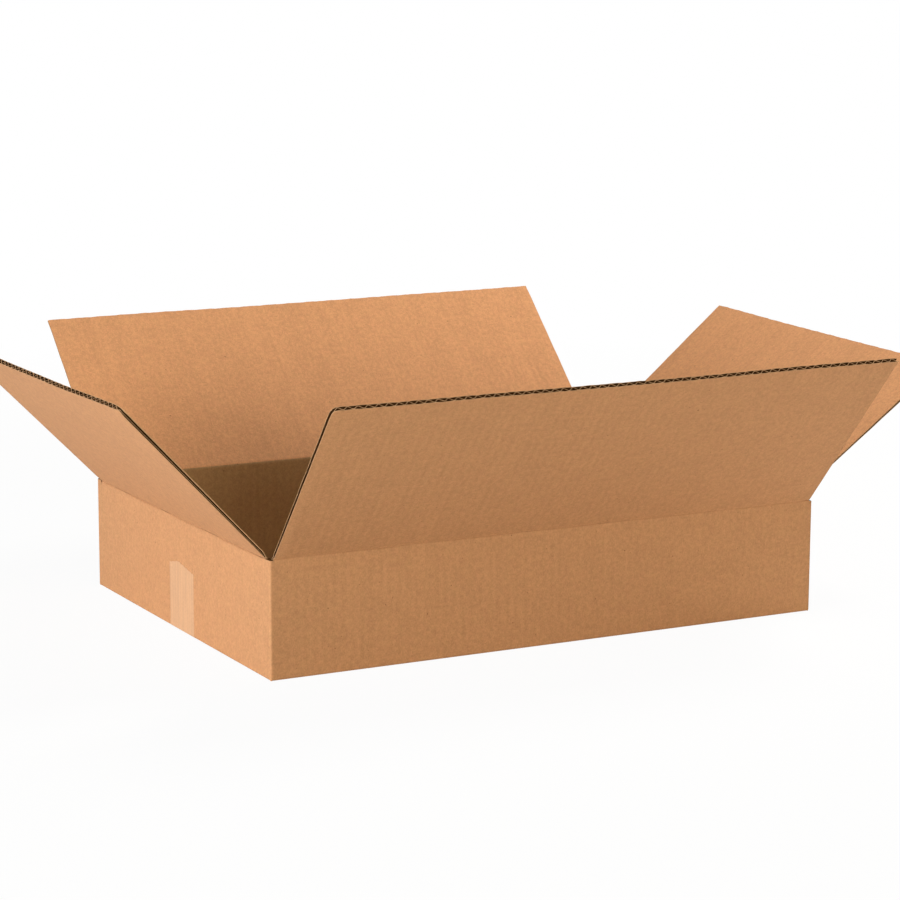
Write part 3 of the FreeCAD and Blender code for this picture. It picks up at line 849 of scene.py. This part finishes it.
def add_lap(columns, side, back):
    """The glued lap: the right wall's end, folded in against the inside of the back wall."""
    glue = 0.1 * MM
    face = back.half_wall - BOARD - glue
    centre = (side.half_wall - UPRIGHT_RADIUS) * side.outwards
    centre = centre + (face - UPRIGHT_RADIUS) * side.along
    small = BOARD + UPRIGHT_INNER_RADIUS
    inner = (side.half_wall - small) * side.outwards + (face - small) * side.along
    sheet = side.sheet_middle + face - UPRIGHT_RADIUS
    add_fold(columns, centre, inner, side, sheet, (22, 45, 68))
    start = side.half_wall - UPRIGHT_RADIUS
    end = side.half_wall - BOARD - LAP_WIDTH
    for number, place in enumerate(np.linspace(start, end, LAP_COLUMNS)):
        outside = place * side.outwards + face * side.along
        inside_place = min(place, start - BOARD)
        inside = inside_place * side.outwards + (face - BOARD) * side.along
        along_sheet = sheet + 2 * UPRIGHT_RADIUS + start - place
        stretch = "corner" if number == 0 else "lap"
        columns.add(outside, inside, side.along, along_sheet, stretch, stretch)


def walk_round():
    """All columns of the strip, from the back right corner round to the lap."""
    columns = Columns()
    names = ("back", "left", "front", "right")
    raw_end = 0.2 * MM
    for number, name in enumerate(names):
        side = SIDES[name]
        flat = side.half_length - UPRIGHT_RADIUS
        first = -side.half_length + raw_end if number == 0 else -flat
        last = flat if name != "right" else flat - BOARD
        add_straight(columns, side, first, last)
        if name != "right":
            fold_between(columns, side)
    add_lap(columns, SIDES["right"], SIDES["back"])
    return columns


columns = walk_round()
print("the strip has", len(columns.way), "columns")

# %% [markdown]
# Each stretch of the strip keeps its own rows. A corner has no bottom flap and stands as a low
# post between the slots. The ends of the two inner bottom flaps lie open inside the box, so their
# last few millimetres are real fluted board.

# %% Make the walls, the bottom and the lap
FIRST_FOLD = len(FLAP_STEPS) + 2
FIRST_WALL = FIRST_FOLD + len(FOLD_ANGLES)
CORNER_HEIGHTS = np.append(np.zeros(FIRST_FOLD), [0.1, 0.7, 1.5, 2.4, 3.4]) * MM
CORNER_INSET = np.append(np.zeros(FIRST_FOLD), [0.5, 0.15, 0, 0, 0]) * MM
KEPT_ROWS = {
    "front": (0, ROWS - 2), "back": (0, ROWS - 2),
    "left": (1, ROWS - 3), "right": (1, ROWS - 3),
    "beside_flap": (1, ROWS - 1),
    "corner": (FIRST_FOLD, ROWS - 1),
    "lap": (FIRST_WALL, ROWS - 4),
}


def corner_section():
    """Section of a corner: the sheet is cut off square at the ground."""
    heights = np.concatenate([CORNER_HEIGHTS, WALL_HEIGHTS])
    inset = np.concatenate([CORNER_INSET, np.zeros(len(WALL_HEIGHTS))])
    inner_heights = np.where(np.arange(ROWS) < FIRST_WALL, heights + 2 * MM, heights)
    return -inset, heights, np.zeros(ROWS), inner_heights


def strip_points(columns):
    """Both faces of the strip as rows x columns, and each point's place on the flat sheet."""
    sections = dict(SECTIONS, corner=corner_section(), lap=corner_section())
    up = np.array([0, 0, 1.0])
    flap_row = np.arange(ROWS) < FIRST_FOLD
    wall_row = np.arange(ROWS) >= FIRST_WALL
    front, back, places = [], [], []
    for number, name in enumerate(columns.sections):
        outside, out_height, inside, in_height = sections[name]
        way, wash = columns.way[number], columns.wash[number]
        if name == "lap":
            tapered = (columns.sheet[number] - columns.sheet[-LAP_COLUMNS]) / LAP_WIDTH
            middle = (LAP_LOW + LAP_HIGH) / 2
            squeeze = 1 - 2 * LAP_TAPER / (LAP_HIGH - LAP_LOW) * tapered
            out_height = np.where(wall_row, middle + (out_height - middle) * squeeze, out_height)
            in_height = out_height
        across = (outside + wash * wall_row)[:, None] * way
        front.append(columns.outside[number] + across + out_height[:, None] * up)
        across = (inside + wash * wall_row)[:, None] * way
        rise = in_height - wash * flap_row
        back.append(columns.inside[number] + across + rise[:, None] * up)
        steps = np.hypot(np.diff(outside), np.diff(out_height))
        run = np.concatenate([[0], np.cumsum(steps)])
        place_up = run - run[FIRST_WALL] + WALL_HEIGHTS[0]
        places.append(np.stack([np.full(ROWS, columns.sheet[number]), place_up], axis=-1))
    return tuple(np.stack(part, axis=1) for part in (front, back, places))


def fluted_end(paper, side):
    """The open end of an inner bottom flap, as fluted board."""
    flap_end = side.half_wall - BOTTOM_FLAP_REACH
    top = BOARD + LAYER_GAP + GROUND_GAP + BOARD

    def place(along, up, out):
        across = flap_end + FLUTED_END - up
        height = top - out
        flat = -along[..., None] * side.along + across[..., None] * side.outwards
        return flat + height[..., None] * np.array([0, 0, 1.0])

    def faces(along, up):
        pinch = 0.12 * MM * smooth_step(1 - (FLUTED_END - up) / (2 * MM))
        return BOARD - pinch, pinch

    def shape(along, up, out):
        return along, up, out

    panel = Panel(place, side.bottom_half_width, 0.0, -side.sheet_middle, 0.2, wall_end=FLUTED_END)
    rows = np.array([0, 3, 6, 7.5, 8.6, 9]) * MM
    flute_rows = np.array([0.3, 4.5, 8.8]) * MM
    add_board(paper, panel, rows, flute_rows, faces, shape, MEDIUM_INSET)


def make_box_board():
    """Walls, bottom flaps and lap as one slab, and the two fluted ends."""
    front, back, places = strip_points(columns)
    keep = np.zeros((ROWS - 1, len(columns.way) - 1), bool)
    for number, stretch in enumerate(columns.stretches[1:]):
        low, high = KEPT_ROWS[stretch]
        keep[low:high, number] = True
    paper = Paper()
    inner_places = places + (LAYER_SHIFT, 0.0)
    # The inside of the strip takes the darker paper, painted shade for the inside of the box.
    # The strip's cut rims take the near-black flute paper, painted shade for the gap between its
    # liners.
    paper.slab(front, back, places, inner_places, (OUTSIDE, INNER_WALL_SHADE, FLUTE_SHADE), keep)
    for name in ("left", "right"):
        fluted_end(paper, SIDES[name])
    piece = paper.make("box_board")
    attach(piece, "box")
    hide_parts("box_body")
    return piece


box_board = make_box_board()

# %% [markdown]
# ## The tape
#
# One strip of tan tape closes the bottom seam and turns up both end walls. It is thinner than
# the paper, a little glossy, and has faint lines along its length from being drawn out. Its end on
# the left wall was torn by hand, so that edge is slanted and slightly ragged.

# %% Make the tape
TAPE = 0.1 * MM
TAPE_BEND = 1.7 * MM
TAPE_PEAK_Y = 0.2 * MM
TAPE_PEAK_DROPS = (5.0 * MM, 3.7 * MM)
TAPE_RIGHT_TOP = 56 * MM
TAPE_COLUMNS = 49
TAPE_SHARES = np.array([1, 0.985, 0.96, 0.9, 0.8, 0.6, 0.4, 0.2, 0])


def tape_finish():
    """Tan film with fine lines along it."""
    tape = Finish("tan_tape")
    place = tape.node("ShaderNodeUVMap", {"uv_map": SHEET_MAP})
    lines = tape.noise(place, 380, 9, detail=2.0, rough=0.6)
    dust = tape.noise(place, 700, 500, detail=1.0)
    clouds = tape.noise(place, 90, 60, detail=3.0)
    shade = (lines - 0.5) * 2.2 + (clouds - 0.5) * 0.6 + (dust - 0.5) * 0.9
    colour = tape.mix((shade + 0.5).clamp(), rgb(0.450, 0.250, 0.122), rgb(0.600, 0.338, 0.172))
    relief = {"Strength": 0.25, "Distance": 0.1 * MM, "Height": lines}
    bump = tape.node("ShaderNodeBump", None, relief)
    tape.set(Base_Color=colour, Roughness=(lines - 0.5) * 0.2 + 0.42)
    tape.set(Normal=bump, Specular_IOR_Level=0.35)
    return tape.material


def torn_top(across, low, high):
    """The hand-torn end on the left wall: a low peak that falls off to both edges."""
    before, after = TAPE_PEAK_Y - across, across - TAPE_PEAK_Y
    front_drop = before * TAPE_PEAK_DROPS[0] / (TAPE_PEAK_Y - low.y)
    back_drop = after * TAPE_PEAK_DROPS[1] / (high.y - TAPE_PEAK_Y)
    drop = np.where(before > 0, front_drop, back_drop)
    return high.z - drop + 0.35 * MM * (wander(across, 7 * MM, 51) - 1)


def tape_face(inset, across, low, high):
    """The points of one face of the tape, a row for each step along it."""
    torn = torn_top(across, low, high)
    cut = TAPE_RIGHT_TOP + 0.2 * MM * (wander(across, 2.2 * MM, 52) - 1)
    centre, radius = high.x - TAPE_BEND, TAPE_BEND - inset
    bend = np.linspace(0, np.pi / 2, 7)
    rows = [(inset - high.x, TAPE_BEND + (torn - TAPE_BEND) * share) for share in TAPE_SHARES[:-1]]
    for angle in bend:
        rows.append((-centre - radius * math.cos(angle), TAPE_BEND - radius * math.sin(angle)))
    rows += [(place, inset) for place in np.linspace(-centre, centre, 21)[1:-1]]
    for angle in bend[::-1]:
        rows.append((centre + radius * math.cos(angle), TAPE_BEND - radius * math.sin(angle)))
    for share in TAPE_SHARES[::-1][1:]:
        rows.append((high.x - inset, TAPE_BEND + (cut - TAPE_BEND) * share))
    full = [[np.broadcast_to(value, across.shape) for value in (x, across, z)] for x, z in rows]
    return np.array(full).transpose(0, 2, 1)


def make_tape():
    """The strip as one slab: across it from front to back, and along it from left to right."""
    low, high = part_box("sealing_tape")
    across = np.linspace(low.y, high.y, TAPE_COLUMNS)
    front, back = (tape_face(inset, across, low, high) for inset in (0.0, TAPE))
    steps = np.linalg.norm(np.diff(front, axis=0), axis=-1)
    run = np.concatenate([np.zeros((1, TAPE_COLUMNS)), np.cumsum(steps, axis=0)])
    places = np.stack([np.broadcast_to(across, run.shape), run], axis=-1)
    paper = Paper()
    paper.slab(front, back, places, places, (0, 0, 0))
    piece = paper.make("tape_strip")
    piece.data.materials.clear()
    piece.data.materials.append(tape_finish())
    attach(piece, "box")
    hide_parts("sealing_tape")
    return piece


tape = make_tape()

# %% [markdown]
# ## Floor, background and light
#
# The photo has a plain white ground. The floor is pale and takes part in the light: much of what
# reaches the outward leaning flaps has come up from it. To the camera it looks nearly white, and a
# faint soft shadow stays. One large lamp stands low to the left, a weaker and warmer one in front,
# and a small one hangs high to the right.

# %% Make the floor and the background
def make_floor():
    """A wide pale square just under the box."""
    ways = ((-1, -1), (1, -1), (1, 1), (-1, 1))
    corners = [(x * FLOOR_HALF, y * FLOOR_HALF, 0) for x, y in ways]
    mesh = bpy.data.meshes.new("floor")
    mesh.from_pydata(corners, [], [(0, 1, 2, 3)])
    floor = bpy.data.objects.new("floor", mesh)
    floor.location.z = -0.2 * MM
    bpy.context.scene.collection.objects.link(floor)
    ground = Finish("pale_floor")
    ground.set(Base_Color=rgb(*FLOOR_COLOUR), Roughness=0.9, Specular_IOR_Level=0.1)
    white = ground.node("ShaderNodeEmission", None, {"Color": rgb(1, 1, 1), "Strength": FLOOR_GLOW})
    path = ground.nodes.new("ShaderNodeLightPath")
    seen = Wire(ground, path.outputs["Is Camera Ray"]) + Wire(ground, path.outputs["Is Glossy Ray"])
    seen = (seen + Wire(ground, path.outputs["Is Transmission Ray"])).clamp()
    place = ground.node("ShaderNodeTexCoord", output="Object")
    away = ground.node("ShaderNodeVectorMath", {"operation": "LENGTH"}, {0: place}, output="Value")
    far = ((away - SHADOW_REACH) * SHADOW_FADE).clamp() * (1 - FLOOR_WHITENESS)
    shown = Wire(ground, ground.shader.outputs["BSDF"])
    factor = seen * (far + FLOOR_WHITENESS)
    mixed = ground.node("ShaderNodeMixShader", None, {0: factor, 1: shown, 2: white})
    ground.feed(ground.nodes["Material Output"].inputs["Surface"], mixed)
    mesh.materials.append(ground.material)
    return floor


def make_world():
    """White for the camera and in mirrors, and a dim even light for everything else."""
    world = bpy.data.worlds.new("studio")
    bpy.context.scene.world = world
    world.use_nodes = True
    nodes, links = world.node_tree.nodes, world.node_tree.links
    nodes.clear()
    path = nodes.new("ShaderNodeLightPath")
    seen = path.outputs["Is Camera Ray"]
    for kind in ("Is Glossy Ray", "Is Transmission Ray"):
        either = nodes.new("ShaderNodeMath")
        either.operation = "MAXIMUM"
        links.new(seen, either.inputs[0])
        links.new(path.outputs[kind], either.inputs[1])
        seen = either.outputs[0]
    mix = nodes.new("ShaderNodeMixShader")
    links.new(seen, mix.inputs[0])
    for number, colour in ((1, WORLD_COLOUR), (2, (1, 1, 1))):
        light = nodes.new("ShaderNodeBackground")
        light.inputs["Color"].default_value = rgb(*colour)
        light.inputs["Strength"].default_value = 1.0
        links.new(light.outputs[0], mix.inputs[number])
    out = nodes.new("ShaderNodeOutputWorld")
    links.new(mix.outputs[0], out.inputs["Surface"])
    return world


FLOOR_HALF = 40.0
FLOOR_COLOUR = (0.96, 0.955, 0.95)
FLOOR_GLOW = 1.0
FLOOR_WHITENESS = 0.95
SHADOW_REACH = 0.7
SHADOW_FADE = 1.2
WORLD_COLOUR = (0.05, 0.05, 0.05)
floor = make_floor()
world = make_world()
print("floor and world ready")

# %% Place the lamps
LAMP_TARGET = Vector((0, 0, 0.12))
LAMPS = {
    # name: place, size, power, colour
    "left": ((-2.75, -0.6, 0.46), 1.3, 93.5, (0.98, 0.99, 1.0)),
    "front": ((-0.7, -2.85, 0.75), 0.8, 31.5, (1.0, 0.93, 0.72)),
    "top": ((1.15, 0.1, 1.45), 0.8, 26.5, (1.0, 0.97, 0.92)),
}


def make_lamp(name, place, size, power, colour):
    """A square lamp that points at the middle of the box."""
    lamp = bpy.data.lights.new(name, "AREA")
    lamp.shape = "SQUARE"
    lamp.size = size
    lamp.energy = power
    lamp.color = colour
    holder = bpy.data.objects.new(f"{name}_lamp", lamp)
    bpy.context.scene.collection.objects.link(holder)
    holder.location = place
    towards = LAMP_TARGET - holder.location
    holder.rotation_mode = "QUATERNION"
    holder.rotation_quaternion = towards.to_track_quat("-Z", "Y")
    return holder


for name, (place, size, power, colour) in LAMPS.items():
    make_lamp(name, place, size, power, colour)
print("lamps:", list(LAMPS))

# %% [markdown]
# ## The colours of the picture
#
# The plain Standard view shows each colour as it is written, with no film look on top.

# %% Finish
bpy.context.scene.view_settings.view_transform = "Standard"
